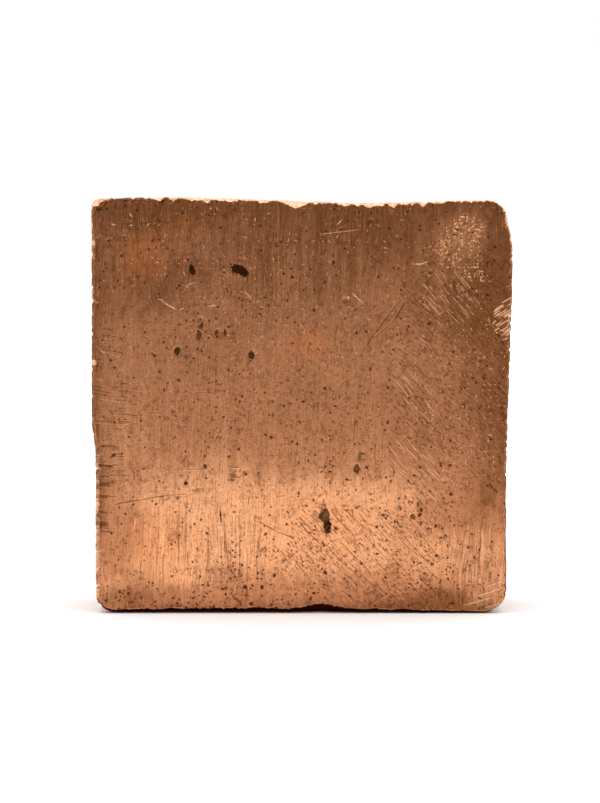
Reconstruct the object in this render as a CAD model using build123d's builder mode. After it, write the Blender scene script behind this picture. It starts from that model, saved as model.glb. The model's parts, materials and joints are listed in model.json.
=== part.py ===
from build123d import *

import os
from math import cos, radians, sin, tan

# A hand-poured copper ingot: a thick square cast in an open mould, so its walls draw in towards
# the mould floor. The open pour face was ground flat afterwards. The ingot stands on its lower
# wall with the ground face to the front. Lengths are in millimetres, angles in degrees.

# Body of the casting
face_width = 38.2
face_height = 37.7
thickness = 11.6
mould_draft = 2.0

# Edges: the lip left round by the melt at the pour face, and the mould's floor corner
lip_radius = 0.4
floor_radius = 0.9

# Rounding of the outline where its walls meet or change direction
top_left_radius = 0.8
top_right_radius = 2.0
worn_corner_radius = 1.4
worn_side_radius = 10.0
bottom_right_radius = 2.2
bottom_left_radius = 1.8
step_radius = 3.0
wave_radius = 45.0

# Outline of the pour face, anticlockwise from the lower left corner: each corner as its shares of
# the face's width, from the middle, and of its height, from the bottom, and its rounding
outline_shares = [
    (-0.491, 0.000, bottom_left_radius),
    (0.484, 0.000, bottom_right_radius),
    (0.483, 0.350, wave_radius),
    (0.500, 0.880, worn_side_radius),
    (0.479, 0.974, worn_corner_radius),
    (0.447, 0.993, top_right_radius),
    (0.150, 0.985, wave_radius),
    (-0.300, 1.000, wave_radius),
    (-0.500, 0.996, top_left_radius),
    (-0.499, 0.450, step_radius),
    (-0.491, 0.395, step_radius),
]

# Chips broken out of the lip, each as its length along the rim and its depth into the face
top_chip_length = 2.9
top_chip_depth = 0.75
notch_length = 5.2
notch_depth = 0.6
corner_chip_length = 1.6
corner_chip_depth = 0.5
side_chip_length = 1.2
side_chip_depth = 0.5

# Where each chip is, as its shares of the face's width and height
top_chip_shares = (-0.014, 0.991)
notch_shares = (0.040, 0.000)
corner_chip_shares = (-0.490, 0.985)
side_chip_shares = (-0.497, 0.612)

# Where the ground face meets the floor plane, set so that the whole ingot is centred in depth
lean = face_height * tan(radians(mould_draft))
base_depth = thickness / cos(radians(mould_draft))
front_y = -(base_depth + lean) / 2

# The ground face leans back by the draft, which lays the lower wall flat on the floor
face_plane = Plane(
    origin=(0, front_y, 0),
    x_dir=(1, 0, 0),
    z_dir=(0, -cos(radians(mould_draft)), sin(radians(mould_draft))),
)


def on_face(shares):
    """The point of the pour face at these shares of its width and height."""
    return shares[0] * face_width, shares[1] * face_height


def scoop_radius(length, depth):
    """The radius of the ball that leaves a chip of this length and depth in an edge."""
    return (length**2 / 4 + depth**2) / (2 * depth)


def chip_centre(shares, outward, length, depth):
    """The place of that ball on the pour face, off the rim along the outward direction."""
    reach = scoop_radius(length, depth) - depth
    return Vector(*on_face(shares)) + Vector(*outward).normalized() * reach


chips = [
    (top_chip_shares, (0, 1), top_chip_length, top_chip_depth),
    (notch_shares, (0, -1), notch_length, notch_depth),
    (corner_chip_shares, (-1, 1), corner_chip_length, corner_chip_depth),
    (side_chip_shares, (-1, 0), side_chip_length, side_chip_depth),
]

with BuildPart() as ingot:
    # The casting: the outline carried back from the pour face to the mould floor
    with BuildSketch(face_plane):
        with BuildLine():
            FilletPolyline(
                [on_face(corner) for corner in outline_shares],
                radius=[corner[2] for corner in outline_shares],
                close=True,
            )
        make_face()
    extrude(amount=-thickness)

    # The walls draw in from the pour face, so that the casting leaves its mould
    ends = ingot.faces().filter_by(face_plane)
    draft(ingot.faces() - ends, neutral_plane=-face_plane, angle=mould_draft)

    # The mould floor's corner and the lip of the pour face are round
    ends = ingot.faces().filter_by(face_plane).sort_by(Axis.Y)
    fillet(ends[-1].edges(), radius=floor_radius)
    ends = ingot.faces().filter_by(face_plane).sort_by(Axis.Y)
    fillet(ends[0].edges(), radius=lip_radius)

    # The chips in the lip
    for shares, outward, length, depth in chips:
        with Locations(face_plane):
            with Locations(chip_centre(shares, outward, length, depth)):
                Sphere(scoop_radius(length, depth), mode=Mode.SUBTRACT)

ingot.part.label = "ingot"
os.makedirs("parts", exist_ok=True)
export_step(ingot.part, "parts/ingot.step")
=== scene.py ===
import json
from math import cos, pi, radians, sin, sqrt

import bpy
import numpy as np
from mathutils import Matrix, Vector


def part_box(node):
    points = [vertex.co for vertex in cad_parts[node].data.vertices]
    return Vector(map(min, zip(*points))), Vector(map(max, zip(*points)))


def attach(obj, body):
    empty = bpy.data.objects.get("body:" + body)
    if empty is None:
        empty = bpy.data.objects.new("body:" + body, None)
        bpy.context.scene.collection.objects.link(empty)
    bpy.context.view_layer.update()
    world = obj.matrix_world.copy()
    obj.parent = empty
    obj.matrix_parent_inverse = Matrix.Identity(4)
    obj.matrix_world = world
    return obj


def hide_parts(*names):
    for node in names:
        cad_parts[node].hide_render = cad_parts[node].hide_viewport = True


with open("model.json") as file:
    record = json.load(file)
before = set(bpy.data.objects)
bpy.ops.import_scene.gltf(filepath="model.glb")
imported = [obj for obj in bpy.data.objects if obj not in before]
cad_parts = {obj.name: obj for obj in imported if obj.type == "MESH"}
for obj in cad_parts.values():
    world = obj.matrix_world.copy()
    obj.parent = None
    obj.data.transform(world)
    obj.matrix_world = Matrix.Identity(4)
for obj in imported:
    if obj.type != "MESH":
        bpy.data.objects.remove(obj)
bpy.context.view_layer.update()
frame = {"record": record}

# A hand-poured copper ingot, standing on its lower wall with its ground pour face to the front.
# Lengths are in millimetres, worked in the casting's own directions: across the ground face, up the
# ground face, and in depth from the ground face to the mould floor. The finished mesh is in metres.
METRE = 1000.0

# The casting's directions and sizes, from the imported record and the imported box
mounts = {mount["name"]: mount for mount in frame["record"]["mounts"]}
box_low, box_high = (np.array(corner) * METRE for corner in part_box("ingot"))
face_out = np.array(mounts["ground_face"]["axis"])
face_point = np.array(mounts["ground_face"]["pos_m"]) * METRE
floor_point = np.array(mounts["mould_floor_face"]["pos_m"]) * METRE
across = np.array([1.0, 0.0, 0.0])
upward = np.cross(face_out, across)
face_foot = face_point - upward * face_point[2] / upward[2]
thickness = (face_point - floor_point) @ face_out
draft = -face_out[2] / face_out[1]
# Width and height that the shares of the outline below refer to. The outline is then stretched to
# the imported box.
face_width = 38.2
face_height = 37.7
face_middle = face_height / 2

# Outline of the pour face, anticlockwise from the lower left corner: shares of the face's width,
# from the middle, and of its height, from the bottom, and the rounding there in millimetres
outline_corners = np.array([
    (-0.491, 0.000, 1.8),
    (0.484, 0.000, 2.2),
    (0.483, 0.350, 45.0),
    (0.500, 0.880, 10.0),
    (0.479, 0.974, 1.4),
    (0.447, 0.993, 2.0),
    (0.150, 0.985, 45.0),
    (-0.300, 1.000, 45.0),
    (-0.500, 0.996, 0.8),
    (-0.499, 0.450, 3.0),
    (-0.491, 0.395, 3.0),
])
# The four corners at which one side of the casting ends and the next begins
side_corners = [0, 1, 4, 8]

# Points in which the outline is traced, and how many to each side give the outward direction
trace_points = 6000
normal_reach = 4
# Wear of the rim: depth, wavelength, seed, and the height of the waves at which it starts. Where
# the rim faces down this much it isn't worn, because the ingot stands on it.
rim_wear = [(0.06, 2.6, 31, 0.0), (0.13, 0.8, 32, 0.3)]
underside_facing = -0.9

# Grid of the ground face: cells along each side, and how far they crowd towards the rim
face_cells = 220
rim_crowding = 0.3
# How far the rim lies from the first ring of the face's grid, as a share of the way to the middle
rim_strip_share = 0.012
# Rings round the lip, along the wall and round the mould floor's corner, and that corner's radius
lip_rows = 6
wall_rows = 44
floor_rows = 5
floor_radius = 0.9
# Depths of the two rings in which the wall's grid is halved
halving_depths = (1.7, 2.3)


def smooth(edge_low, edge_high, value):
    """A soft step: 0 up to the low edge, 1 from the high edge, and 3t^2 - 2t^3 between."""
    t = np.clip((value - edge_low) / (edge_high - edge_low), 0, 1)
    return t * t * (3 - 2 * t)


def ripple(points, wavelength, seed, waves=28):
    """Chance unevenness of about -1 to 1: a sum of plane waves in random directions."""
    rng = np.random.default_rng(seed)
    ways = rng.normal(size=(points.shape[1], waves))
    ways /= np.linalg.norm(ways, axis=0)
    ways *= 2 * pi / (wavelength * rng.uniform(0.7, 1.5, waves))
    phases = rng.uniform(0, 2 * pi, waves)
    return np.sin(points @ ways + phases).sum(axis=1) / sqrt(2 * waves)


def rounded_outline(corners, radii, steps=25):
    """Each corner becomes the arc that is tangent to its two sides; row i holds corner i's arc."""
    before = np.roll(corners, 1, axis=0) - corners
    after = np.roll(corners, -1, axis=0) - corners
    before /= np.linalg.norm(before, axis=1, keepdims=True)
    after /= np.linalg.norm(after, axis=1, keepdims=True)
    half_angle = np.arccos(np.clip((before * after).sum(axis=1), -1, 1)) / 2
    inward = before + after
    inward /= np.linalg.norm(inward, axis=1, keepdims=True)
    centres = corners + inward * (radii / np.sin(half_angle))[:, None]
    starts = corners + before * (radii / np.tan(half_angle))[:, None] - centres
    ends = corners + after * (radii / np.tan(half_angle))[:, None] - centres
    first = np.arctan2(starts[:, 1], starts[:, 0])
    turn = (np.arctan2(ends[:, 1], ends[:, 0]) - first + pi) % (2 * pi) - pi
    angles = first[:, None] + turn[:, None] * np.linspace(0, 1, steps)
    spokes = np.stack([np.cos(angles), np.sin(angles)], axis=2)
    return centres[:, None, :] + radii[:, None, None] * spokes


def crowded(t):
    """Even steps from 0 to 1, drawn closer together towards both ends by a sine."""
    return t - rim_crowding * np.sin(2 * pi * t) / (2 * pi)


def walk_outline():
    """Points and outward directions round the rim, with as many points on each of the four sides.

    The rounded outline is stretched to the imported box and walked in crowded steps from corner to
    corner. Then chance waves wear it back along its own normal."""
    sizes = np.array([face_width, face_height])
    arcs = rounded_outline(outline_corners[:, :2] * sizes, outline_corners[:, 2])
    path = arcs.reshape(-1, 2)
    path[:, 0] *= (box_high - box_low)[0] / np.ptp(path[:, 0])
    path[:, 0] += box_low[0] - path[:, 0].min()
    path[:, 1] *= box_high[2] / upward[2] / path[:, 1].max()
    closed = np.vstack([path, path[:1]])
    length = np.concatenate([[0], np.cumsum(np.linalg.norm(np.diff(closed, axis=0), axis=1))])
    middles = [length[corner * arcs.shape[1] + arcs.shape[1] // 2] for corner in side_corners]
    share = crowded(np.arange(2 * face_cells) / (2 * face_cells))
    spans = np.diff(middles + [middles[0] + length[-1]])
    walked = np.concatenate([start + span * share for start, span in zip(middles, spans)])
    fine = np.linspace(0, length[-1], trace_points, endpoint=False)
    trace = np.column_stack([np.interp(fine, length, closed[:, axis]) for axis in (0, 1)])
    along = np.roll(trace, -normal_reach, axis=0) - np.roll(trace, normal_reach, axis=0)
    along /= np.linalg.norm(along, axis=1, keepdims=True)
    outward = np.column_stack([along[:, 1], -along[:, 0]])

    def at_walked(table):
        columns = [np.interp(walked, fine, column, period=length[-1]) for column in table.T]
        return np.column_stack(columns)

    rim = at_walked(trace)
    out = at_walked(outward)
    out /= np.linalg.norm(out, axis=1, keepdims=True)
    worn_off = np.zeros(len(rim))
    for depth, wavelength, seed, start in rim_wear:
        worn_off += depth * np.clip(ripple(rim, wavelength, seed) - start, 0, 1)
    worn_off[out[:, 1] <= underside_facing] = 0
    rim -= out * worn_off[:, None]
    return rim, out, walked, length[-1]


# The lip of each side before any chips: a place along the side, the lip's width there and how much
# # bare metal it shows, which is also a painted highlight where the lip catches the light, most along
# # the top. Top and bottom are placed across the face, left and right up the face.
lip_runs = {
    "top": [
        (-19.1, 0.30, 0.9),
        (-17.7, 0.14, 0.6),
        (-16.9, 0.07, 0.0),
        (-14.2, 0.07, 0.0),
        (-13.4, 0.12, 0.7),
        (-4.0, 0.14, 1.0),
        (12.5, 0.12, 1.0),
        (13.6, 0.09, 0.9),
        (18.0, 0.12, 1.0),
    ],
    "right": [(0.0, 0.14, 0.2), (6.0, 0.10, 0.15), (31.0, 0.10, 0.3), (36.0, 0.13, 0.9)],
    "bottom": [
        (-17.8, 0.34, 0.0),
        (-10.0, 0.50, 0.0),
        (5.0, 0.46, 0.0),
        (9.0, 0.36, 0.0),
        (18.0, 0.18, 0.0),
    ],
    "left": [(0.0, 0.35, 0.50), (14.4, 0.36, 0.45), (16.5, 0.16, 0.3), (37.0, 0.18, 0.4)],
}
# How uneven the lip's width is, and its depth as a share of its width
lip_unevenness = 0.35
lip_depth_share = 0.9
# How far the lower lip is broken back under the face, which leaves a dark gap above the floor
undercut = 0.8
# How hollow the lip is in a chip and in the undercut, from 0 for round to 1 for scooped out
chip_hollow = 0.7
undercut_hollow = 0.95
# Depths between which a chip begins to show as broken metal
chip_shows = (0.05, 0.3)
# Chips that show: across, up, reach before and after along the rim, depth, and how square they are
chips = [
    (-18.9, 37.4, 1.00, 0.65, 0.60, 3.0),
    (-12.9, 37.6, 0.45, 0.45, 0.22, 1.5),
    (-11.6, 37.6, 0.15, 0.20, 0.26, 1.2),
    (-9.6, 37.6, 1.20, 1.20, 0.16, 3.0),
    (-8.6, 37.6, 0.30, 0.40, 0.30, 1.5),
    (-6.7, 37.6, 0.90, 0.90, 0.20, 2.5),
    (-3.5, 37.5, 0.70, 0.70, 0.15, 2.0),
    (-0.6, 37.3, 1.20, 1.27, 0.57, 1.2),
    (1.2, 37.2, 0.35, 0.30, 0.20, 1.6),
    (3.9, 37.2, 0.50, 0.45, 0.18, 2.0),
    (6.1, 37.2, 0.60, 0.65, 0.33, 2.2),
    (7.1, 37.2, 0.35, 0.30, 0.22, 1.6),
    (8.2, 37.2, 0.50, 0.50, 0.40, 1.4),
    (9.9, 37.2, 0.20, 0.20, 0.20, 1.5),
    (10.8, 37.2, 0.40, 0.40, 0.27, 1.5),
    (12.2, 37.2, 0.30, 0.30, 0.12, 2.0),
    (-19.0, 22.7, 0.50, 0.35, 0.30, 1.2),
    (-19.0, 33.5, 0.80, 0.60, 0.20, 1.5),
    (19.0, 26.9, 0.25, 0.25, 0.22, 2.0),
    (1.4, 0.0, 1.80, 2.60, 0.42, 1.5),
    (-0.6, 0.0, 0.25, 0.45, 0.10, 1.2),
    (-4.0, 0.0, 0.80, 1.00, 0.10, 2.0),
]
# Small chips by chance: how many on each side, the largest reach and depth there, the shares of
# these that a chip may have, how square it may be, and how far its place belongs to the side
small_chips = {
    "top": (60, 0.35, 0.14),
    "left": (34, 0.40, 0.12),
    "right": (40, 0.35, 0.14),
    "bottom": (12, 0.60, 0.05),
}
small_chip_shares = (0.25, 1.0)
small_chip_powers = (1.0, 2.5)
small_chip_weight = 0.6
small_chip_seed = 11


def side_weights(out):
    """How far each point of the rim belongs to each of the four sides, by the way that it faces."""
    return {
        "top": np.clip(out[:, 1], 0, 1) ** 2,
        "bottom": np.clip(-out[:, 1], 0, 1) ** 2,
        "right": np.clip(out[:, 0], 0, 1) ** 2,
        "left": np.clip(-out[:, 0], 0, 1) ** 2,
    }


def chipped_depth(rim, walked, length, sides):
    """Depth of the deepest chip at each point of the rim.

    Along the rim a chip falls from its ends to its deepest point as 1 - s^p, with its own reach on
    each side and its own power p, so two chips meet in a sharp crest."""
    rng = np.random.default_rng(small_chip_seed)
    rows = [(walked[np.argmin(np.hypot(rim[:, 0] - x, rim[:, 1] - v))], *rest) for x, v, *rest in chips]
    for side, (count, reach, depth) in small_chips.items():
        on_side = walked[sides[side] > small_chip_weight]
        sizes = rng.uniform(*small_chip_shares, (count, 3)) * (reach, reach, depth)
        places = rng.choice(on_side, count)
        powers = rng.uniform(*small_chip_powers, count)
        rows.extend(np.column_stack([places, sizes, powers]))
    place, before, after, depth, power = np.array(rows).T
    away = (walked[:, None] - place + length / 2) % length - length / 2
    along = np.abs(away) / np.where(away < 0, before, after)
    return (depth * np.clip(1 - along ** power, 0, 1)).max(axis=1)


def lip_shape(rim, out, walked, length):
    """Width and depth of the lip round the rim, how hollow it is, its bare metal, partly a painted
    highlight where it catches the light, and the painted shade with dark oxide of its undercut.

    The runs of the four sides are blended by the way that the rim faces, made uneven by chance
    waves, most at the top, and widened by the chips."""
    sides = side_weights(out)
    width = np.zeros(len(rim))
    bare_and_lit = np.zeros(len(rim))
    for side, weight in sides.items():
        place, widths, shares = np.array(lip_runs[side]).T
        along = rim[:, 0] if side in ("top", "bottom") else rim[:, 1]
        width += weight * np.interp(along, place, widths)
        bare_and_lit += weight * np.interp(along, place, shares)
    uneven = lip_unevenness * ripple(rim, wavelength=1.8, seed=3)
    uneven += lip_unevenness * ripple(rim, wavelength=0.45, seed=4)
    width *= 1 + uneven * (0.3 + 0.7 * sides["top"])
    chipped = chipped_depth(rim, walked, length, sides)
    broken = smooth(*chip_shows, chipped)
    depth = lip_depth_share * (width + chipped) + undercut * sides["bottom"]
    hollow = np.maximum(chip_hollow * broken, undercut_hollow * sides["bottom"])
    bare_and_lit = np.maximum(bare_and_lit, broken) * (1 - sides["bottom"])
    return width + chipped, depth, hollow, bare_and_lit, sides["bottom"]


def coons(ring):
    """A grid inside a ring of four equal sides: opposite sides are blended, less the four corners."""
    cells = len(ring) // 4
    closed = np.vstack([ring, ring[:1]])
    bottom = closed[:cells + 1]
    right = closed[cells:2 * cells + 1]
    top = closed[2 * cells:3 * cells + 1][::-1]
    left = closed[3 * cells:][::-1]
    t = crowded(np.linspace(0, 1, cells + 1))
    u, v = t[:, None, None], t[None, :, None]
    sides = (1 - v) * bottom[:, None] + v * top[:, None] + (1 - u) * left[None] + u * right[None]
    lower = (1 - u) * bottom[0] + u * bottom[-1]
    upper = (1 - u) * top[0] + u * top[-1]
    return sides - (1 - v) * lower - v * upper


def grid_ring(ids):
    """The numbers on the border of a square grid, anticlockwise from its first corner."""
    return np.concatenate([ids[:-1, 0], ids[-1, :-1], ids[:0:-1, -1], ids[0, :0:-1]])


def grid_quads(ids):
    """The cells of a square grid of vertex numbers."""
    cells = np.stack([ids[:-1, :-1], ids[1:, :-1], ids[1:, 1:], ids[:-1, 1:]], axis=2)
    return cells.reshape(-1, 4)


def band_quads(front, behind):
    """The cells between two rings of as many vertices."""
    return np.column_stack([front, behind, np.roll(behind, -1), np.roll(front, -1)])


def band_triangles(fine, coarse, fine_in_front):
    """The cells between a ring and one of half as many vertices: three triangles for each pair."""
    first, mid, last = fine[::2], fine[1::2], np.roll(fine[::2], -1)
    near, far = coarse, np.roll(coarse, -1)
    faces = np.vstack([
        np.column_stack([first, near, mid]),
        np.column_stack([mid, near, far]),
        np.column_stack([mid, far, last]),
    ])
    return faces if fine_in_front else faces[:, ::-1]


# Broad form of the ground face. It was ground in two flats: the upper one leans back a little more,
# above a bent line given as places across the face and heights up it.
face_crown = 0.12
face_wave = 0.012
upper_flat_tilt = 0.018
flats_meet = [(-19.0, 9.6), (-17.0, 9.9), (-10.4, 10.9), (-5.0, 12.4), (12.0, 12.4), (19.0, 10.5)]
flats_blend = 1.4

# Dark marks in the ground face: across, up, half width, half height, turn in degrees, depth, how
# green the stain in it is, and how dark
dark_marks = [
    (-9.95, 31.0, 0.24, 0.46, 15, 0.04, 0.0, 1.0),
    (-5.95, 31.2, 0.46, 0.44, -20, 0.04, 0.0, 1.0),
    (-5.35, 30.9, 0.58, 0.37, -30, 0.04, 0.0, 1.0),
    (-5.6, 32.0, 0.28, 0.07, -5, 0.04, 0.0, 0.8),
    (-10.3, 32.0, 0.10, 0.14, 0, 0.04, 0.0, 0.9),
    (-11.3, 23.75, 0.30, 0.42, 8, 0.03, 1.0, 1.0),
    (-4.6, 23.4, 0.28, 0.36, 0, 0.03, 1.0, 1.0),
    (-9.35, 25.2, 0.26, 0.52, -8, 0.03, 0.8, 0.9),
    (-9.1, 26.0, 0.17, 0.36, -25, 0.03, 0.5, 0.9),
    (-9.2, 26.65, 0.14, 0.08, 0, 0.04, 0.0, 0.9),
    (-7.75, 25.4, 0.20, 0.38, -15, 0.03, 0.3, 0.9),
    (-7.6, 26.05, 0.10, 0.10, 0, 0.05, 0.0, 0.8),
    (-7.0, 25.4, 0.17, 0.30, 0, 0.03, 0.3, 0.9),
    (2.05, 8.9, 0.46, 0.66, 8, 0.03, 0.9, 0.9),
    (2.25, 8.0, 0.32, 0.74, 0, 0.04, 0.5, 1.0),
    (1.95, 10.0, 0.13, 0.60, 5, 0.05, 0.6, 0.8),
    (4.9, 13.1, 0.30, 0.52, 0, 0.02, 1.0, 0.9),
    (5.15, 14.2, 0.20, 0.66, -8, 0.01, 1.0, 0.65),
    (9.95, 8.8, 0.30, 0.26, 30, 0.02, 0.4, 0.8),
    (9.3, 10.65, 0.12, 0.10, 0, 0.05, 0.0, 0.9),
    (9.4, 10.4, 0.08, 0.14, 20, 0.05, 0.0, 0.8),
    (10.2, 5.9, 0.14, 0.08, 0, 0.05, 0.0, 0.9),
    (11.25, 5.8, 0.06, 0.12, 0, 0.05, 0.0, 0.9),
    (6.15, 35.4, 0.24, 0.26, 0, 0.04, 0.0, 0.65),
    (2.8, 31.75, 0.17, 0.24, 0, 0.04, 0.0, 0.75),
    (3.95, 28.3, 0.22, 0.22, 0, 0.04, 0.0, 0.55),
    (-17.5, 33.7, 0.17, 0.13, 0, 0.05, 0.0, 0.9),
    (-16.1, 34.0, 0.12, 0.15, 20, 0.05, 0.0, 0.9),
    (-18.3, 33.8, 0.16, 0.30, 0, 0.04, 0.2, 0.6),
    (-10.55, 11.8, 0.20, 0.17, 0, 0.02, 0.1, 1.0),
    (-8.8, 13.35, 0.20, 0.16, -40, 0.02, 0.1, 0.9),
    (-6.2, 12.5, 0.44, 0.17, -15, 0.015, 0.3, 0.6),
    (-5.2, 12.75, 0.22, 0.20, 0, 0.015, 0.3, 0.6),
    (-8.3, 12.85, 0.28, 0.11, 0, 0.015, 0.2, 0.4),
    (-9.5, 11.2, 0.46, 0.18, 10, 0.01, 0.3, 0.5),
    (-8.3, 11.4, 0.22, 0.13, 0, 0.01, 0.2, 0.4),
]


def in_mark(points, x, v, half_width, half_height, turn):
    """Distance from the middle of a turned oval, where 1 is its edge."""
    c, s = cos(radians(turn)), sin(radians(turn))
    dx, dv = points[:, 0] - x, points[:, 1] - v
    return np.hypot((c * dx + s * dv) / half_width, (c * dv - s * dx) / half_height)


def face_relief(points):
    """How much was ground off the pour face, plus the hollows of the dark marks.

    The broad form is a parabolic crown, slow waves and the lean of the upper flat, which starts at
    the bent line as a rounded hinge, (h + sqrt(h^2 + blend^2)) / 2 for a height h above the line."""
    reach = (points[:, 0] / (face_width / 2)) ** 2 + ((points[:, 1] - face_middle) / face_middle) ** 2
    taken = face_crown * reach / 2 + face_wave * (1 + ripple(points, wavelength=9.0, seed=5))
    above = points[:, 1] - np.interp(points[:, 0], *np.array(flats_meet).T)
    taken += upper_flat_tilt * (above + np.sqrt(above ** 2 + flats_blend ** 2)) / 2
    for *oval, depth, _, _ in dark_marks:
        taken += depth * (1 - smooth(0.45, 1.15, in_mark(points, *oval)))
    return taken


# Depths of the as-cast surface's dents, grain, blow holes and laps, and the spacing of the laps
dent_depth = 0.05
skin_depth = 0.012
blow_hole_depth = 0.10
lap_depth = 0.03
lap_spacing = 1.3
# Nicks that reach back along a wall: across, up, half length and depth, and where they fade out
wall_nicks = [(19.0, 26.9, 0.30, 0.26), (-19.0, 22.7, 0.60, 0.20)]
wall_nick_fade = (0.4, 3.2)


def cast_relief(points):
    """How much the as-cast walls and the mould floor dip.

    Slow dents, a finer grain, blow holes, wavy lap lines that run round the walls where the melt
    froze in steps, and the nicks that reach back from the lip."""
    dents = dent_depth * (1 + ripple(points, wavelength=7.0, seed=21))
    grain = skin_depth * (1 + ripple(points, wavelength=1.1, seed=22))
    blow_holes = blow_hole_depth * smooth(0.8, 1.3, ripple(points, wavelength=1.6, seed=23))
    laps = points[:, 2] / lap_spacing + 0.5 * ripple(points[:, :2], wavelength=6.0, seed=24)
    laps += 0.2 * ripple(points, wavelength=2.5, seed=25)
    patches = np.clip(0.5 + ripple(points, wavelength=8.0, seed=26), 0, 1)
    lapped = lap_depth * np.abs(np.sin(pi * laps)) * patches
    taken = dents + grain + blow_holes + lapped
    for x, v, half_length, depth in wall_nicks:
        away = np.hypot(points[:, 0] - x, points[:, 1] - v) / half_length
        taken += depth * np.exp(-away ** 2) * (1 - smooth(*wall_nick_fade, points[:, 2]))
    return taken


# Outward directions of the two flat faces, across, up and in depth
to_front = (0, 0, -1)
to_back = (0, 0, 1)
# Marks of the plain ground face and the plain cast skin, in the order that Shell.add gives
ground_marks = (1, 0, 0, 0, 0, 0)
cast_marks = (0, 0, 0, 0, 1, 0)


class Shell:
    """One closed surface, gathered ring by ring: places, outward directions, marks and faces."""

    def __init__(self):
        self.places = []
        self.outward = []
        self.marks = []
        self.faces = []
        self.count = 0

    def add(self, flat, depth, outward, marks):
        """Adds vertices and gives their numbers. Marks are ground, lip, bare metal, which is partly a
        painted highlight, the undercut's painted shade with dark oxide, cast and worn, which is 1 on
        the crest of the lip."""
        total = len(flat)
        self.places.append(np.column_stack([flat, np.broadcast_to(depth, total)]))
        self.outward.append(np.broadcast_to(outward, (total, 3)))
        self.marks.append(np.column_stack([np.broadcast_to(mark, total) for mark in marks]))
        first = self.count
        self.count += total
        return np.arange(first, self.count)


def tilted(out, out_share, depth_share):
    """Outward directions between a wall's own normal and the depth."""
    return np.column_stack([out * out_share, np.full(len(out), depth_share)])


def ingot_shell():
    """The whole casting as one closed surface.

    The ground face is a grid inside the rim. From the rim, rings follow the profile round the lip,
    back along the drafted wall and round the mould floor's corner. The mould floor is a coarser
    grid, so the rings are halved twice on the way. A ring is the outline moved inwards along its
    own normal, and the profile gives how far and how deep. Also gives the vertex numbers of the
    lip's crest, where the ground face ends in a sharp edge."""
    rim, out, walked, length = walk_outline()
    lip, lip_depth, hollow, bare_and_lit, undercut_shade_and_oxide = lip_shape(rim, out, walked, length)
    crest = rim - out * lip[:, None]
    inner = crest[::2] + (np.array([0, face_middle]) - crest[::2]) * rim_strip_share
    shell = Shell()

    flat = coons(inner).reshape(-1, 2)
    ids = shell.add(flat, face_relief(flat), to_front, ground_marks)
    ids = ids.reshape(face_cells + 1, face_cells + 1)
    shell.faces.append(grid_quads(ids))
    sunk = face_relief(crest)
    ring = crest_ids = shell.add(crest, sunk, to_front, (1, 0, bare_and_lit, undercut_shade_and_oxide, 0, 1))
    shell.faces.append(band_triangles(ring, grid_ring(ids), False))

    for row in range(1, lip_rows + 1):
        turn = row / lip_rows * pi / 2
        rounded = lip * (1 - sin(turn)), lip_depth * (1 - cos(turn))
        scooped = lip * cos(turn), lip_depth * sin(turn)
        depth = rounded[1] + (scooped[1] - rounded[1]) * hollow + sunk
        inset = rounded[0] + (scooped[0] - rounded[0]) * hollow + depth * draft
        marks = (0, 1, bare_and_lit, undercut_shade_and_oxide, 0, row / lip_rows)
        new = shell.add(rim - out * inset[:, None], depth, tilted(out, sin(turn), -cos(turn)), marks)
        shell.faces.append(band_quads(ring, new))
        ring = new

    step = 1
    for depth in halving_depths:
        step *= 2
        flat = rim[::step] - out[::step] * depth * draft
        new = shell.add(flat, depth, tilted(out[::step], 1, 0), cast_marks)
        shell.faces.append(band_triangles(ring, new, True))
        ring = new
    rim, out = rim[::step], out[::step]
    floor_start = thickness - floor_radius
    for depth in np.linspace(halving_depths[-1], floor_start, wall_rows + 1)[1:]:
        new = shell.add(rim - out * depth * draft, depth, tilted(out, 1, 0), cast_marks)
        shell.faces.append(band_quads(ring, new))
        ring = new
    for row in range(1, floor_rows + 1):
        turn = row / floor_rows * pi / 2
        depth = floor_start + floor_radius * sin(turn)
        inset = depth * draft + floor_radius * (1 - cos(turn))
        marks = (0, 0, 0, 0, 1, sin(2 * turn))
        new = shell.add(rim - out * inset, depth, tilted(out, cos(turn), sin(turn)), marks)
        shell.faces.append(band_quads(ring, new))
        ring = new

    back = coons(rim - out * (thickness * draft + floor_radius))
    cells = back.shape[0]
    flat = back[1:-1, 1:-1].reshape(-1, 2)
    ids = np.zeros((cells, cells), dtype=int)
    inner_ids = shell.add(flat, thickness, to_back, cast_marks)
    ids[1:-1, 1:-1] = inner_ids.reshape(cells - 2, cells - 2)
    ids.reshape(-1)[grid_ring(np.arange(cells * cells).reshape(cells, cells))] = ring
    shell.faces.append(grid_quads(ids)[:, ::-1])
    return shell, crest_ids


def soft_ovals(points, ovals):
    """Adds up soft ovals: each gives its amount in its middle and fades to nothing at its edge."""
    total = np.zeros(len(points))
    for *oval, amount in ovals:
        total += amount * (1 - smooth(0.2, 1.0, in_mark(points, *oval)))
    return total


# How brown the ground face is from its foot to its top: heights and amounts. Besides patina this
# paints light and shade: painted shade darkens the face towards its foot and its top, and the clean
# band low on the face is a painted reflection.
painted_light_and_patina_heights = [
    (0.0, 1.0), (0.6, 0.88), (1.2, 0.68), (2.0, 0.54), (2.6, 0.43), (4.6, 0.18), (7.0, 0.04),
    (10.5, 0.02), (13.5, 0.32), (17.0, 0.42), (25.0, 0.50), (30.0, 0.72), (35.0, 0.90), (37.6, 1.05),
]
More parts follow.
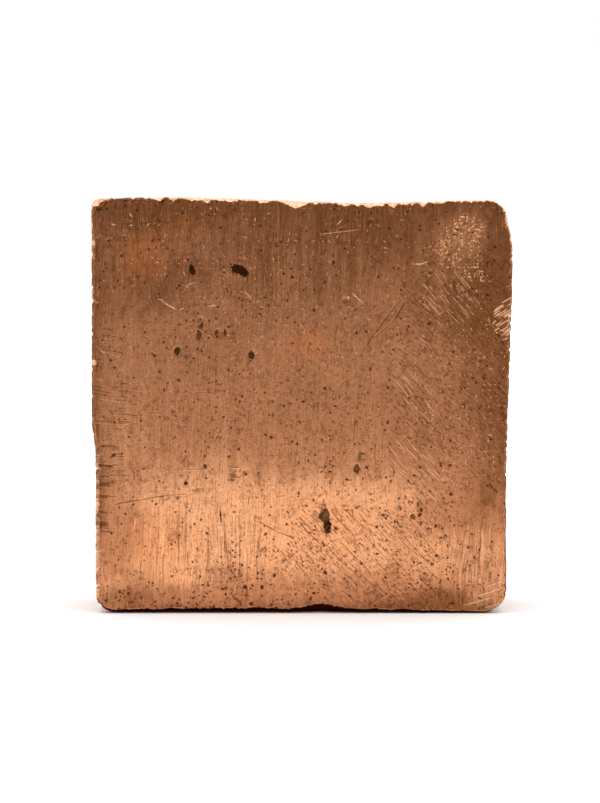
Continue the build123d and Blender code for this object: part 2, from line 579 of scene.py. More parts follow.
# Areas of the ground face as soft ovals: across, up, half width, half height, turn, amount
face_areas = {
    # Where the belt ran slantwise, and where single strokes run sideways
    "slanted": [
        (13.5, 22.0, 10.0, 20.0, 0, 1.0),
        (4.5, 4.5, 12.0, 9.0, -20, 1.0),
    ],
    "sideways": [
        (-19.2, 17.5, 6.0, 14.0, 0, 1.2),
        (19.2, 13.0, 1.8, 8.0, 0, 0.8),
    ],
    # Gouges at the right edge
    "gouged": [
        (18.7, 26.6, 2.2, 2.6, 0, 1.3),
    ],
    # Bundles of fine light strokes, clear streaks and dark scores
    "bundled": [
        (13.4, 28.6, 4.4, 4.4, 0, 1.0),
        (10.4, 13.0, 3.4, 5.6, 45, 1.0),
        (10.6, 19.5, 2.8, 5.0, 35, 0.7),
        (16.5, 22.0, 2.4, 5.0, 0, 0.4),
    ],
    "streaked": [
        (-9.0, 6.5, 12.0, 6.5, 0, 1.0),
        (15.6, 4.5, 5.0, 5.0, 0, 1.0),
        (-1.0, 31.0, 10.0, 9.0, 0, 0.4),
    ],
    "scored": [
        (6.0, 4.5, 11.0, 7.0, -25, 1.0),
        (-6.0, 2.0, 4.0, 3.0, 0, 0.5),
    ],
    # The patch that is full of short nicks
    "nicked": [
        (14.8, 34.4, 3.2, 2.6, 0, 1.0),
        (12.6, 32.8, 2.6, 2.2, 0, 0.7),
        (15.2, 31.0, 3.4, 3.0, 0, 0.6),
    ],
    # Where pits are many, where painted glints are many, and where the copper is warmer
    "pitted": [
        (-7.0, 2.4, 6.0, 3.4, 0, 1.3),
        (-4.2, 5.0, 3.2, 3.2, 0, 1.1),
        (-14.5, 1.5, 6.0, 1.8, 0, 1.5),
        (-9.5, 1.4, 4.5, 1.7, 0, 1.0),
        (12.5, 3.4, 8.0, 5.0, 0, 0.7),
        (9.5, 9.5, 9.0, 5.0, -20, 0.45),
        (-7.5, 12.2, 2.6, 1.3, 0, 0.7),
        (-8.0, 21.0, 9.0, 8.0, 0, 0.35),
        (2.0, 16.0, 12.0, 6.0, 0, 0.30),
        (0.0, 5.0, 22.0, 9.0, 0, 0.30),
    ],
    "glinting": [
        (-3.0, 30.0, 21.0, 11.0, 0, 0.85),
        (15.0, 20.0, 8.0, 15.0, 0, 0.9),
    ],
    "warm": [
        (-14.4, 32.4, 3.6, 3.0, 0, 0.8),
        (-12.5, 6.5, 5.0, 4.0, 0, 0.8),
        (0.6, 24.6, 3.0, 2.4, 0, 0.7),
        (1.0, 8.0, 9.0, 4.0, 0, 0.4),
        (-11.0, 35.0, 4.0, 1.6, 0, 0.4),
    ],
    # Browner than the heights above say, or cleaner: patina, and in places painted light and shade,
    #     # such as the cleaner patch that brightens the reflection in the low band
    "brown": [
        (20.5, 25.0, 9.0, 20.0, 0, 0.44),
        (20.5, 12.0, 16.0, 13.0, 0, 0.36),
        (19.5, 9.6, 10.0, 4.5, 0, 0.30),
        (18.9, 26.6, 2.0, 2.4, 0, -0.40),
        (10.2, 17.5, 5.0, 7.0, 0, 0.20),
        (-16.6, 6.0, 4.0, 4.5, 0, 0.14),
        (-10.8, 4.2, 3.2, 2.4, 0, -0.30),
        (-13.5, 29.4, 7.0, 3.6, 0, 0.16),
        (-12.9, 28.4, 1.6, 2.0, 0, 0.22),
        (-11.0, 33.4, 4.2, 2.4, 0, -0.24),
        (0.0, 15.6, 8.0, 4.4, 0, 0.12),
        (9.0, 7.4, 6.0, 3.6, 0, 0.12),
        (15.0, 26.6, 7.0, 5.0, 0, 0.20),
        (14.5, 9.4, 7.0, 4.5, 0, 0.17),
        (-19.6, 20.0, 3.0, 20.0, 0, 0.35),
        (-19.6, 9.0, 8.0, 7.0, 0, 0.50),
        (-19.2, 11.0, 2.0, 9.0, 0, 0.40),
        (-5.6, 8.0, 4.5, 4.5, 0, -0.22),
        (18.0, 2.0, 3.5, 3.0, 0, -0.25),
        (12.0, 1.4, 4.2, 1.9, 0, 0.32),
        (-15.8, 1.6, 3.6, 1.2, 0, 0.30),
        (14.8, 34.2, 4.0, 3.4, 0, -0.40),
    ],
}

# How many half widths away from a scratch its field still grows
farthest_across = 50
# Scratches as straight strokes: the two ends, each across and up, half the width, and the strength
dark_scratches = [
    (-18.9, 15.20, -16.5, 15.10, 0.090, 0.7),
    (-18.9, 13.50, -17.0, 13.35, 0.140, 0.7),
    (-18.9, 12.50, -17.3, 12.45, 0.090, 0.6),
    (-18.9, 11.90, -17.2, 11.70, 0.190, 0.65),
    (-18.9, 10.70, -17.4, 10.60, 0.150, 0.65),
    (-18.9, 9.30, -17.6, 9.20, 0.110, 0.6),
    (-18.9, 8.25, -17.4, 8.10, 0.190, 0.7),
    (-18.9, 7.50, -16.8, 7.40, 0.080, 0.6),
    (8.96, 28.54, 5.30, 23.68, 0.060, 1.0),
    (9.30, 28.27, 8.24, 26.46, 0.075, 0.9),
    (8.24, 26.46, 6.52, 25.01, 0.060, 0.8),
    (-17.0, 9.91, -14.55, 10.36, 0.075, 0.8),
    (-14.7, 10.30, -12.4, 10.72, 0.060, 0.7),
    (-12.6, 10.68, -10.4, 10.90, 0.050, 0.5),
    (-7.45, 9.60, -7.32, 8.20, 0.070, 1.0),
    (-4.15, 8.46, -2.16, 7.37, 0.045, 1.0),
    (-2.30, 7.42, -0.71, 6.83, 0.045, 0.9),
    (-0.35, 8.46, 0.64, 7.19, 0.045, 0.9),
    (0.55, 7.30, 1.60, 6.40, 0.045, 0.8),
    (-18.7, 20.4, -14.6, 20.0, 0.045, 0.7),
    (-9.67, 20.0, -7.95, 20.0, 0.045, 0.8),
    (-6.14, 22.4, -5.06, 22.4, 0.045, 0.8),
    (16.84, 11.9, 17.20, 11.30, 0.090, 0.9),
    (17.10, 11.38, 17.65, 11.0, 0.080, 0.9),
    (-14.3, 18.2, -12.6, 18.2, 0.045, 0.7),
    (-16.6, 9.0, -16.8, 8.0, 0.045, 0.7),
    (-4.8, 10.8, -4.9, 9.9, 0.050, 0.7),
    (-2.4, 10.55, -1.5, 10.75, 0.045, 0.6),
    (12.1, 25.4, 12.7, 25.5, 0.060, 0.8),
]
# Bright scratches show fresh metal; a few short ones near the top are painted glints
bright_scratches = [
    (4.35, 29.08, 5.57, 28.00, 0.050, 0.8),
    (1.09, 34.20, 5.57, 34.73, 0.030, 0.5),
    (10.14, 31.57, 10.90, 31.60, 0.050, 0.9),
    (10.80, 31.60, 11.40, 31.90, 0.045, 0.7),
    (-12.80, 28.27, -11.30, 27.45, 0.045, 0.9),
    (-13.10, 28.45, -12.30, 28.27, 0.055, 0.8),
    (-11.00, 27.45, -10.70, 27.63, 0.045, 0.9),
    (-8.45, 27.80, -7.70, 27.90, 0.050, 0.7),
    (-5.28, 29.17, -4.56, 28.45, 0.050, 0.8),
    (-5.50, 34.10, -4.90, 33.90, 0.040, 0.6),
    (-10.60, 29.60, -9.60, 30.00, 0.045, 0.5),
    (3.10, 35.10, 3.60, 35.60, 0.045, 0.8),
    (-17.30, 35.20, -16.80, 35.10, 0.055, 0.7),
    (-15.60, 36.20, -15.35, 35.80, 0.060, 0.9),
    (-15.60, 35.05, -15.35, 35.10, 0.070, 0.9),
    (-18.40, 24.10, -17.80, 23.40, 0.045, 0.6),
    (-11.20, 12.95, -8.60, 13.00, 0.040, 0.3),
    (14.60, 0.75, 17.40, 1.55, 0.100, 0.4),
    (15.60, 1.50, 18.20, 2.40, 0.100, 0.45),
    (16.60, 2.40, 18.30, 3.10, 0.080, 0.35),
    (16.20, 0.45, 18.00, 0.95, 0.080, 0.35),
    (-6.60, 13.15, -5.20, 13.20, 0.050, 0.35),
]


def nearest_scratch(points, scratches):
    """The way across the nearest scratch, in half widths, and how strong it is at that place.

    Each point takes the scratch whose middle line is nearest. Its distance to one side is linear, so
    a line thinner than the grid still comes out sharp. The strength fades towards both ends."""
    x0, v0, x1, v1, half_width, strength = np.array(scratches).T
    length = np.hypot(x1 - x0, v1 - v0)
    way_x, way_v = (x1 - x0) / length, (v1 - v0) / length
    dx, dv = points[:, :1] - x0, points[:, 1:2] - v0
    along = dx * way_x + dv * way_v
    aside = dv * way_x - dx * way_v
    past = np.maximum(np.maximum(-along, along - length), 0)
    nearest = np.argmin(np.hypot(aside, past), axis=1)
    row = np.arange(len(points))
    share = (along / length)[row, nearest]
    fade = smooth(-0.02, 0.25, share) * (1 - smooth(0.75, 1.02, share))
    across_it = aside[row, nearest] / half_width[nearest]
    return np.clip(across_it, -farthest_across, farthest_across), strength[nearest] * fade


def mark_fields(points):
    """Where the dark marks are, 1 in the middle and one half at the edge, how green and how dark."""
    inside_most = np.zeros(len(points))
    green = np.zeros(len(points))
    dark = np.zeros(len(points))
    for *oval, _, greenness, darkness in dark_marks:
        inside = np.clip(1 - in_mark(points, *oval) / 2, 0, 1)
        green = np.where(inside > inside_most, greenness, green)
        dark = np.where(inside > inside_most, darkness, dark)
        inside_most = np.maximum(inside_most, inside)
    return inside_most, green, dark


def finish_fields(points):
    """What the finish reads at each point of the surface: its areas, dark marks and scratches."""
    fields = {name: soft_ovals(points, ovals) for name, ovals in face_areas.items()}
    fields["brown"] += np.interp(points[:, 1], *np.array(painted_light_and_patina_heights).T)
    fields["stain"], fields["green"], fields["dark"] = mark_fields(points)
    fields["dark_across"], fields["dark_strength"] = nearest_scratch(points, dark_scratches)
    fields["bright_across"], fields["bright_strength"] = nearest_scratch(points, bright_scratches)
    return fields


def build_ingot():
    """Makes the mesh in metres, with the finish's areas as attributes of its points."""
    shell, crest_ids = ingot_shell()
    points = np.vstack(shell.places)
    ground, lip, bare_and_lit, undercut_shade_and_oxide, cast, worn = np.vstack(shell.marks).T
    points = points - np.vstack(shell.outward) * (cast * cast_relief(points))[:, None]
    place = face_foot + np.outer(points[:, 0], across) + np.outer(points[:, 1], upward)
    place -= np.outer(points[:, 2], face_out)
    place = np.clip(place, box_low, box_high) / METRE
    mesh = bpy.data.meshes.new("copper_ingot")
    faces = [corners for group in shell.faces for corners in group.tolist()]
    mesh.from_pydata(place.tolist(), [], faces)

    attributes = {"ground": ground, "lip": lip, "bare_and_lit": bare_and_lit, "undercut_shade_and_oxide": undercut_shade_and_oxide, "worn": worn}
    attributes.update(finish_fields(points))
    for name, values in attributes.items():
        layer = mesh.attributes.new(name, "FLOAT", "POINT")
        layer.data.foreach_set("value", np.asarray(values, dtype=np.float32))
    mesh.polygons.foreach_set("use_smooth", np.ones(len(mesh.polygons), dtype=bool))
    edges = np.zeros(2 * len(mesh.edges), dtype=np.int32)
    mesh.edges.foreach_get("vertices", edges)
    on_crest = (edges >= crest_ids[0]) & (edges <= crest_ids[-1])
    sharp = mesh.attributes.new("sharp_edge", "BOOLEAN", "EDGE")
    sharp.data.foreach_set("value", on_crest.reshape(-1, 2).all(axis=1))
    mesh.validate()
    mesh.update()
    piece = bpy.data.objects.new("copper_ingot", mesh)
    bpy.context.scene.collection.objects.link(piece)
    return piece


class Value:
    """A socket of a node tree, or the bare tree to start from. Arithmetic adds Math nodes."""

    def __init__(self, tree, socket=None):
        self.tree = tree
        self.socket = socket

    def node(self, kind, settings, sockets, output=0):
        """Adds a node: its type, its settings, which are set first, and its sockets."""
        made = self.tree.nodes.new(kind)
        for name, setting in settings.items():
            setattr(made, name, setting)
        for name, value in sockets.items():
            if isinstance(value, Value):
                self.tree.links.new(value.socket, made.inputs[name])
            else:
                made.inputs[name].default_value = value
        return Value(self.tree, made.outputs[output])

    def math(self, operation, *terms):
        """A Math node on these values or numbers."""
        return self.node("ShaderNodeMath", {"operation": operation}, dict(enumerate(terms)))

    def __add__(self, other):
        return self.math("ADD", self, other)

    __radd__ = __add__

    def __sub__(self, other):
        return self.math("SUBTRACT", self, other)

    def __rsub__(self, other):
        return self.math("SUBTRACT", other, self)

    def __mul__(self, other):
        return self.math("MULTIPLY", self, other)

    __rmul__ = __mul__

    def __truediv__(self, other):
        return self.math("DIVIDE", self, other)

    def __abs__(self):
        return self.math("ABSOLUTE", self)

    def __pow__(self, power):
        return self.math("POWER", self, power)

    def larger(self, other):
        """The larger of this value and another."""
        return self.math("MAXIMUM", self, other)

    def step(self, low, high):
        """A soft step from 0 at the low value to 1 at the high one, or down if low is the larger."""
        sockets = {"Value": self, "From Min": low, "From Max": high}
        return self.node("ShaderNodeMapRange", {"interpolation_type": "SMOOTHSTEP"}, sockets)

    def mix(self, start, end):
        """This value's mix of two colours."""
        return self.node("ShaderNodeMix", {"data_type": "RGBA"}, {0: self, 6: start, 7: end}, 2)

    def between(self, start, end):
        """This value's mix of two numbers."""
        return start + (end - start) * self

    def vector(self, operation, *terms):
        """A Vector Math node on these values or vectors."""
        return self.node("ShaderNodeVectorMath", {"operation": operation}, dict(enumerate(terms)))

    def part(self, name):
        """One of the three parts of a vector or of a colour."""
        kind = "ShaderNodeSeparateXYZ" if name in "XYZ" else "ShaderNodeSeparateColor"
        return self.node(kind, {}, {0: self}, name)


def colour(red, green, blue):
    """A screen colour of 0 to 255 as the linear colour that shaders use."""
    parts = np.array([red, green, blue]) / 255
    linear = np.where(parts <= 0.04045, parts / 12.92, ((parts + 0.055) / 1.055) ** 2.4)
    return (*(float(part) for part in linear), 1.0)


def noise(place, size, detail=2.0, rough=0.5, output=0):
    """Cloudy noise with lumps of this size."""
    sockets = {"Vector": place, "Scale": 1 / size, "Detail": detail, "Roughness": rough}
    return place.node("ShaderNodeTexNoise", {}, sockets, output)


def wandering(place, size, reach):
    """Places moved about by cloudy noise of this size, by up to about this reach."""
    drift = noise(place, size, output="Color")
    moved = drift.vector("MULTIPLY_ADD", drift, (reach,) * 3, (-reach / 2,) * 3)
    return place.vector("ADD", place, moved)


def belt_lines(place, turn, width, length, shift):
    """Lines left by a grinding belt: noise drawn out along one direction of the ground face.

    In depth the noise is drawn out over a metre, so there it hardly changes."""
    sockets = {
        "Vector": place,
        "Location": (shift, 0, shift),
        "Rotation": (0, radians(turn), 0),
        "Scale": (width, METRE, length),
    }
    drawn = place.node("ShaderNodeMapping", {"vector_type": "TEXTURE"}, sockets)
    return noise(drawn, size=1.0, detail=2.5, rough=0.6)


def chance_cells(place, cell):
    """A cell pattern: the way from each cell's own point, and the chance numbers of the cell."""
    cells = {"Vector": place, "Scale": 1 / cell, "Randomness": 1.0}
    seat = place.node("ShaderNodeTexVoronoi", {}, cells, "Position")
    chance = place.node("ShaderNodeTexVoronoi", {}, cells, "Color")
    draws = [chance.part(name) for name in ("Red", "Green", "Blue")]
    return place.vector("SUBTRACT", place, seat), draws


def holes(place, cell, largest, share, edge):
    """Pits in a chance share of the cells: round about the cell's point, most of them small."""
    gap, draws = chance_cells(place, cell)
    away = gap.node("ShaderNodeVectorMath", {"operation": "LENGTH"}, {0: gap}, "Value")
    size = (0.35 + 0.65 * draws[1] ** 2.0) * largest
    chosen = (share - draws[0]).step(0.0, 0.08)
    return ((size - away) / edge).step(-0.5, 0.5) * chosen


def nicks(place, cell, length, width, share, turns=(0, 180)):
    """Short nicks in a chance share of the cells: thin bars about the cell's point, at chance turns."""
    gap, draws = chance_cells(place, cell)
    x, z = gap.part("X"), gap.part("Z")
    turn_low, turn_high = turns
    turn = draws[0] * radians(turn_high - turn_low) + radians(turn_low)
    c, s = turn.math("COSINE", turn), turn.math("SINE", turn)
    along = abs(x * c + z * s)
    aside = abs(z * c - x * s)
    reach = (0.12 + 0.88 * draws[1] ** 3.0) * length
    bar = along.step(reach, reach * 0.5) * aside.step(width, width * 0.3)
    return bar * (share - draws[2]).step(0.0, 0.25)


def strokes(place, turn, spacing, length, width, share):
    """Straight strokes along one direction, in rows of cells, where a chance share of cells holds one.

    Each row is slid along by its own chance number, and each stroke has its own length and lies to
    one side of its row's middle by chance."""
    sockets = {"Vector": place, "Rotation": (0, radians(turn), 0), "Scale": (spacing, 1.0, length)}
    turned = place.node("ShaderNodeMapping", {"vector_type": "TEXTURE"}, sockets)
    aside, along = turned.part("X"), turned.part("Z")
    row = aside.math("FLOOR", aside)
    along = along + row.node("ShaderNodeTexWhiteNoise", {"noise_dimensions": "1D"}, {"W": row}, "Value")
    cell = along.math("FLOOR", along)
    seat = row.node("ShaderNodeCombineXYZ", {}, {"X": row, "Y": cell})
    chance = row.node("ShaderNodeTexWhiteNoise", {"noise_dimensions": "2D"}, {"Vector": seat}, "Color")
    draws = [chance.part(name) for name in ("Red", "Green", "Blue")]
    off_line = abs(aside - row - 0.5 + (draws[0] - 0.5) * 0.6) * spacing
    off_middle = abs(along - cell - 0.5)
    reach = 0.15 + 0.35 * draws[1]
    bar = off_line.step(width, width * 0.4) * off_middle.step(reach, reach * 0.5)
    return bar * (share - draws[2]).step(0.0, 0.15)


# Colours of the finish
clean_copper = colour(255, 180, 129)
browned_copper = colour(206, 136, 94)
dark_patina_and_shade = colour(149, 91, 55)
warm_copper = colour(236, 138, 76)
grime = colour(80, 40, 18)
light_copper = colour(248, 178, 128)
pale_copper = colour(255, 198, 150)
bright_metal = colour(255, 212, 176)
red_brown = colour(112, 56, 28)
pit_brown = colour(68, 32, 14)
stain_brown = colour(46, 23, 9)
stain_green = colour(104, 74, 24)
cast_brown = colour(174, 108, 78)
cast_copper = colour(206, 136, 102)
cast_light = colour(236, 166, 128)
cast_rubbed = colour(236, 168, 126)
tarnish_brown = colour(112, 66, 48)
lip_brown = colour(140, 86, 54)
fresh_metal = colour(222, 152, 114)
fresh_crystals = colour(250, 206, 170)
shade_and_oxide_brown = colour(108, 48, 30)
# Depths of the marks in the ground face, the burr of a bright scratch, and the depths of the cast
# skin and of the broken lip, in millimetres
line_depth = 0.007
grain_depth = 0.005
mottle_depth = 0.010
bundle_depth = 0.006
gouge_depth = 0.03
nick_depth = 0.02
pit_depth = 0.05
dark_scratch_depth = 0.02
bright_scratch_burr = 0.012
cast_grain_depth = 0.03
cast_mottle_depth = 0.10
cast_pit_depth = 0.07
lip_grain_depth = 0.05
# Turn of the belt's upright lines on the face, in degrees
upright = 2


def ground_finish(place, area):
    """The belt-ground face: colour, roughness and height in millimetres.

    The colour is laid on in coats, each over the last: patina with painted light and shade, belt
    lines, strokes, nicks, painted glints, pits, scratches and dark marks."""
    flat = place.vector("MULTIPLY", place, (1, 0, 1))
    cloud = noise(place, size=6.0, detail=4.0, rough=0.6)
    mottle = noise(place, size=1.4, detail=4.0, rough=0.65)
    grain = noise(place, size=0.26, detail=3.0, rough=0.75)

    def patchy(name, clouds, raggedness, low, high):
        """An area with its edge made ragged by clouds, as a soft mask."""
        return (area(name) + (clouds - 0.5) * raggedness).step(low, high)

    # Patina with painted shade towards the face's foot and top and a painted reflection in its clean
    #     # low band, in clouds and in wide bands along the belt
    drifting = wandering(flat, size=7.0, reach=1.2)
    bands = belt_lines(drifting, turn=upright, width=0.9, length=14.0, shift=70.0)
    brown = area("brown") + (cloud - 0.5) * 0.6 + (mottle - 0.5) * 0.5 + (bands - 0.5) * 0.6
    tint = brown.step(0.0, 0.55).mix(clean_copper, browned_copper)
    tint = brown.step(0.5, 1.05).mix(tint, dark_patina_and_shade)
    tint = (area("warm") * cloud.step(0.15, 0.5) * 0.45).mix(tint, warm_copper)
    tint = (mottle.step(0.46, 0.28) * 0.30).mix(tint, grime)
    smudge = noise(place, size=0.42, detail=3.0, rough=0.65) + (mottle - 0.5) * 0.5
    tint = (smudge.step(0.54, 0.68) * 0.40).mix(tint, grime)
    rough = 0.22 + 0.08 * brown + 0.10 * (mottle - 0.5)

    # Belt lines, upright on the left and slanting on the right, and the grain between them
    slant = patchy("slanted", cloud, 1.2, 0.25, 0.65)
    upright_lines = belt_lines(drifting, turn=upright, width=0.11, length=4.5, shift=0.0)
    slanting_lines = belt_lines(drifting, turn=-45, width=0.11, length=2.7, shift=5.0)
    lines = slant.between(upright_lines, slanting_lines)
    boldness = 0.5 + 0.8 * area("streaked") + 0.3 * slant
    height = (lines - 0.5) * boldness * line_depth
    height = height + (grain - 0.5) * grain_depth + (mottle - 0.5) * mottle_depth
    tint = (lines.step(0.50, 0.30) * boldness * 0.36).mix(tint, grime)
    tint = (lines.step(0.53, 0.72) * boldness * 0.36).mix(tint, light_copper)
    streaky = belt_lines(drifting, turn=upright, width=0.24, length=8.0, shift=33.0)
    streakiness = (0.14 + 0.42 * area("streaked")) * (1 - 0.9 * slant)
    tint = (streaky.step(0.47, 0.30) * streakiness).mix(tint, grime)
    tint = (streaky.step(0.54, 0.70) * streakiness * 0.7).mix(tint, light_copper)
    upright_fine = belt_lines(drifting, turn=upright, width=0.08, length=1.4, shift=20.0)
    slanting_fine = belt_lines(drifting, turn=-42, width=0.08, length=1.0, shift=25.0)
    fine = slant.between(upright_fine, slanting_fine)
    tint = (fine.step(0.46, 0.28) * 0.52).mix(tint, grime)
    tint = (fine.step(0.56, 0.74) * 0.46).mix(tint, light_copper)
    tint = (grain.step(0.44, 0.26) * 0.40).mix(tint, grime)
    tint = (grain.step(0.58, 0.76) * 0.36).mix(tint, light_copper)

    # Single strokes of the coarse grit: dark ones, then light ones
    curled = wandering(flat, size=0.6, reach=0.16)
    scored = patchy("scored", cloud, 1.0, 0.2, 0.7)
    score = strokes(drifting, turn=-44, spacing=0.62, length=6.0, width=0.045, share=0.85 * scored)
    tint = (score * 0.70).mix(tint, grime)
    side = patchy("sideways", mottle, 0.9, 0.2, 0.8)
    crossing = strokes(drifting, turn=-85, spacing=0.27, length=2.8, width=0.055, share=0.55 * side)
    tint = (crossing * 0.62).mix(tint, grime)
    share = (0.45 + 0.3 * area("pitted")) * slant
    short = strokes(curled, turn=-42, spacing=0.22, length=0.6, width=0.065, share=share)
    tint = (short * 0.75).mix(tint, red_brown)
    share = 0.30 - 0.30 * slant
    short = strokes(curled, turn=upright, spacing=0.28, length=0.8, width=0.055, share=share)
    tint = (short * 0.42).mix(tint, grime)
    broken = grain.step(0.32, 0.52)
    share = area("streaked") - 0.36
    streak = strokes(drifting, turn=upright, spacing=0.30, length=3.4, width=0.11, share=share)
    tint = (streak * broken * 0.50).mix(tint, pale_copper)
    crossing = strokes(drifting, turn=-80, spacing=0.37, length=1.2, width=0.05, share=0.35 * side)
    tint = (crossing * 0.40).mix(tint, pale_copper)
    share = 0.85 * patchy("bundled", mottle, 0.9, 0.25, 0.7)
    bundle = strokes(drifting, turn=-42, spacing=0.22, length=3.0, width=0.042, share=share) * broken
    tint = (bundle * 0.70).mix(tint, pale_copper)
    height = height - bundle * bundle_depth
    share = 1.1 * patchy("gouged", mottle, 0.5, 0.25, 0.6)
    gouge = strokes(drifting, turn=60, spacing=0.18, length=1.8, width=0.065, share=share) * broken
    tint = (gouge * 0.9).mix(tint, pale_copper)
    height = height - gouge * gouge_depth

    # A patch full of short nicks, then glints in small nicks painted pale: painted highlights on
    #     # partly fresh copper, and the edge rubbed bright
    nicked = patchy("nicked", mottle, 1.0, 0.1, 1.0)
    nick = nicks(curled, cell=0.38, length=0.62, width=0.055, share=nicked, turns=(20, 80))
    tint = (nick * 0.8).mix(tint, light_copper)
    nick = nicks(curled, cell=0.30, length=0.50, width=0.050, share=nicked * 0.8, turns=(100, 170))
    tint = (nick * 0.7).mix(tint, light_copper)
    bent = wandering(wandering(flat, size=0.45, reach=0.30), size=0.16, reach=0.20)
    nick = nicks(bent, cell=0.30, length=0.34, width=0.055, share=nicked * 0.7)
    tint = (nick * 0.9).mix(tint, pale_copper)
    height = height - nick * nick_depth
    glinting = (area("glinting") + 0.2) * (mottle * 2.0 - 0.2)
    glint = nicks(bent, cell=0.50, length=0.25, width=0.05, share=glinting * 0.85)
    tint = (glint * 0.9).mix(tint, pale_copper)
    rubbed = area("worn").step(0.45, 0.85) * mottle.step(0.42, 0.56)
    tint = (rubbed * 0.4).mix(tint, light_copper)

    # Corroded patches, specks and pits
    pitted = area("pitted") * (mottle * 2.4 - 0.4)
    corroded = noise(bent, size=0.34, detail=3.0, rough=0.65) + (mottle - 0.5) * 0.40 + pitted * 0.05
    tint = (corroded.step(0.66, 0.73) * 0.65).mix(tint, grime)
    speck = holes(bent, cell=0.34, largest=0.115, share=0.30 + 0.7 * pitted, edge=0.05)
    tint = (speck * 0.85).mix(tint, pit_brown)
    pit = holes(bent, cell=0.95, largest=0.19, share=0.18 + 0.5 * pitted, edge=0.08)
    pit = pit.larger(holes(bent, cell=0.48, largest=0.13, share=0.16 + 0.65 * pitted, edge=0.06))
    tint = (pit * 0.85).mix(tint, pit_brown)

    # The scratches and dark marks that show
    ragged = (grain - 0.5) * 1.6
    bright_scratch = abs(area("bright_across") + ragged).step(1.2, 0.4) * area("bright_strength")
    tint = (bright_scratch * 0.9).mix(tint, bright_metal)
    dark_scratch = abs(area("dark_across") + ragged).step(1.3, 0.5) * area("dark_strength")
    tint = (dark_scratch * 0.85).mix(tint, pit_brown)
    dark = area("dark")
    inside = area("stain") + (grain - 0.5) * 0.9 + (mottle - 0.5) * 0.5
    stain = inside.step(0.42, 0.82 - 0.28 * dark) * dark
    olive = area("green") * (inside + (grain - 0.5) * 0.8).step(0.62, 0.92)
    tint = (stain * grain.between(1.15, 0.8)).mix(tint, olive.mix(stain_brown, stain_green))
    height = height + bright_scratch * bright_scratch_burr - dark_scratch * dark_scratch_depth
    height = height - pit * pit_depth
    rough = pit.larger(stain).between(rough, 0.6)
    return tint, rough, height


def cast_finish(place, area):
    """The as-cast walls and mould floor: colour, roughness and height in millimetres.

    Cloudy copper under soft tarnish, with a dark grain and gas pits, rubbed light at the mould's
    floor corner."""
    cloud = noise(place, size=5.0, detail=4.0, rough=0.6)
    mottle = noise(place, size=1.0, detail=4.0, rough=0.7)
    grain = noise(place, size=0.30, detail=3.0, rough=0.7)
    bent = wandering(place, size=0.4, reach=0.3)
    pit = holes(bent, cell=1.1, largest=0.26, share=0.35, edge=0.08)
    tint = cloud.step(0.35, 0.65).mix(cast_brown, cast_copper)
    tarnish = (cloud * 0.8 + mottle).step(0.98, 0.68)
    tint = (tarnish * 0.4).mix(tint, tarnish_brown)
    tint = (mottle.step(0.56, 0.78) * 0.3).mix(tint, cast_light)
    tint = (grain.step(0.50, 0.28) * 0.45).mix(tint, grime)
    rubbed = area("worn") * (mottle + grain * 0.6).step(0.55, 0.95)
    tint = (rubbed * 0.7).mix(tint, cast_rubbed)
    tint = (pit * 0.85).mix(tint, pit_brown)
    rough = pit.between(0.28 + 0.14 * tarnish - 0.06 * rubbed, 0.6)
    height = (grain - 0.5) * cast_grain_depth + (mottle - 0.5) * cast_mottle_depth
    height = height - pit * cast_pit_depth
    return tint, rough, height


def lip_finish(place, area):
    """The broken lip: fresh crystalline metal where it is bare, which also paints a highlight where
    the lip catches the light, and painted shade with dark oxide where it is undercut.

    Gives colour, roughness and height in millimetres."""
    grain = noise(place, size=0.22, detail=3.0, rough=0.7)
    mottle = noise(place, size=0.9, detail=3.0, rough=0.6)
    # Pale bare metal: partly broken fresh metal, partly a painted highlight on the lit lip
    bare_and_lit = (area("bare_and_lit") + (mottle - 0.5) * 0.9 + (grain - 0.5) * 0.5).step(0.3, 0.6)
    tint = bare_and_lit.mix(lip_brown, grain.step(0.35, 0.65).mix(fresh_metal, fresh_crystals))
    tint = (grain.step(0.42, 0.28) * 0.5).mix(tint, grime)
    # Painted shade: the undercut lower lip is darkened as the gap above the floor, with dark oxide
    tint = area("undercut_shade_and_oxide").step(0.2, 0.7).mix(tint, shade_and_oxide_brown)
    rough = 0.38 + 0.2 * (mottle - 0.5) + 0.25 * area("undercut_shade_and_oxide")
    height = (grain - 0.5) * lip_grain_depth
    return tint, rough, height


def copper_finish():
    """Worn copper: the ground face, the lip and the cast skin, each in its own part of the surface."""
    material = bpy.data.materials.new("worn_copper")
    material.use_nodes = True
    tree = material.node_tree
    shader = tree.nodes["Principled BSDF"]
    start = Value(tree)
    metres = start.node("ShaderNodeTexCoord", {}, {}, "Object")
    place = metres.vector("MULTIPLY", metres, (METRE, METRE, METRE))

    def area(name):
        return start.node("ShaderNodeAttribute", {"attribute_name": name}, {}, "Fac")

    ground, lip = area("ground"), area("lip")
    tint, rough, height = cast_finish(place, area)
    for share, finish in ((ground, ground_finish), (lip, lip_finish)):
        new_tint, new_rough, new_height = finish(place, area)
        tint = share.mix(tint, new_tint)
        rough = share.between(rough, new_rough)
        height = share.between(height, new_height)
    bump = {"Height": height, "Distance": 1 / METRE, "Strength": 1.0}
    normal = height.node("ShaderNodeBump", {}, bump)
    shader.inputs["Metallic"].default_value = 1.0
    tree.links.new(tint.socket, shader.inputs["Base Color"])
    tree.links.new(rough.socket, shader.inputs["Roughness"])
    tree.links.new(normal.socket, shader.inputs["Normal"])
    return material


# Half the width of the floor, in metres, and its grey
floor_half = 3.0
floor_grey = 0.96


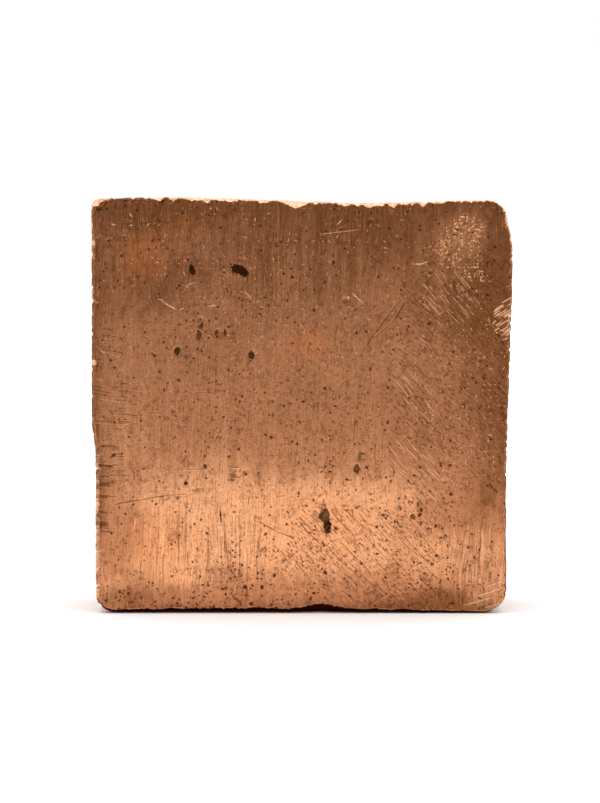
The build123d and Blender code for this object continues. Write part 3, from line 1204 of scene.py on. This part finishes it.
def pale_floor():
    """A wide plain floor, one flat square."""
    corners = np.array([(-1, -1, 0), (1, -1, 0), (1, 1, 0), (-1, 1, 0)]) * floor_half
    mesh = bpy.data.meshes.new("floor")
    mesh.from_pydata(corners.tolist(), [], [(0, 1, 2, 3)])
    floor = bpy.data.objects.new("floor", mesh)
    bpy.context.scene.collection.objects.link(floor)
    material = bpy.data.materials.new("pale_floor")
    material.use_nodes = True
    shader = material.node_tree.nodes["Principled BSDF"]
    shader.inputs["Base Color"].default_value = (floor_grey, floor_grey, floor_grey, 1)
    shader.inputs["Roughness"].default_value = 1.0
    shader.inputs["Specular IOR Level"].default_value = 0.0
    mesh.materials.append(material)


# Levels of the light: all round, overhead, and low on the camera's side, where the room is darker
light_round = 1.0
light_overhead = 1.8
light_front = 0.28
# Parts of a direction, from -1 to 1, between which the levels change: its upward part for the light
# overhead and for the top of the darker front, its backward part for the sides of the front
overhead_rise = (0.35, 0.9)
front_top = (0.7, 0.2)
front_sides = (0.1, -0.6)


def studio_light():
    """A white tent: white all round, brighter overhead and darker low on the camera's side."""
    world = bpy.data.worlds.new("tent")
    world.use_nodes = True
    bpy.context.scene.world = world
    tree = world.node_tree
    start = Value(tree)
    way = start.node("ShaderNodeTexCoord", {}, {}, "Generated")
    y, z = way.part("Y"), way.part("Z")
    overhead = z.step(*overhead_rise)
    front = y.step(*front_sides) * z.step(*front_top)
    level = front.between(overhead.between(light_round, light_overhead), light_front)
    background = tree.nodes["Background"]
    tree.links.new(level.socket, background.inputs["Strength"])
    background.inputs["Color"].default_value = (1, 1, 1, 1)


# The camera: the photo's frame in pixels, the face's sides and the floor there, where the camera
# stands, in millimetres and degrees, and its sensor's width
frame_width_px = 600
frame_height_px = 803
face_left_px = 90.3
face_right_px = 514.1
floor_px = 615.2
camera_distance = 280.0
camera_elevation = 4.0
camera_sensor = 36.0
# Nothing nearer than this is drawn, in metres
camera_near = 0.01


def photo_camera():
    """Looks slightly down at the ground face, with the face as wide and as high up as in the photo."""
    scale = (face_right_px - face_left_px) / (box_high - box_low)[0]
    centre_x = (box_low + box_high)[0] / 2
    aim_x = centre_x + (frame_width_px / 2 - (face_left_px + face_right_px) / 2) / scale
    aim_z = (floor_px - frame_height_px / 2) / scale
    aim = np.array([aim_x, face_foot[1], aim_z])
    tilt = radians(camera_elevation)
    stand = aim + camera_distance * np.array([0, -cos(tilt), sin(tilt)])
    data = bpy.data.cameras.new("camera")
    data.sensor_fit = "HORIZONTAL"
    data.sensor_width = camera_sensor
    data.lens = camera_sensor * camera_distance * scale / frame_width_px
    data.clip_start = camera_near
    camera = bpy.data.objects.new("camera", data)
    camera.location = stand / METRE
    camera.rotation_euler = (pi / 2 - tilt, 0, 0)
    bpy.context.scene.collection.objects.link(camera)
    bpy.context.scene.camera = camera


ingot = build_ingot()
ingot.data.materials.append(copper_finish())
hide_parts("ingot")
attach(ingot, "root")
pale_floor()
studio_light()
photo_camera()
bpy.context.scene.view_settings.view_transform = "Standard"
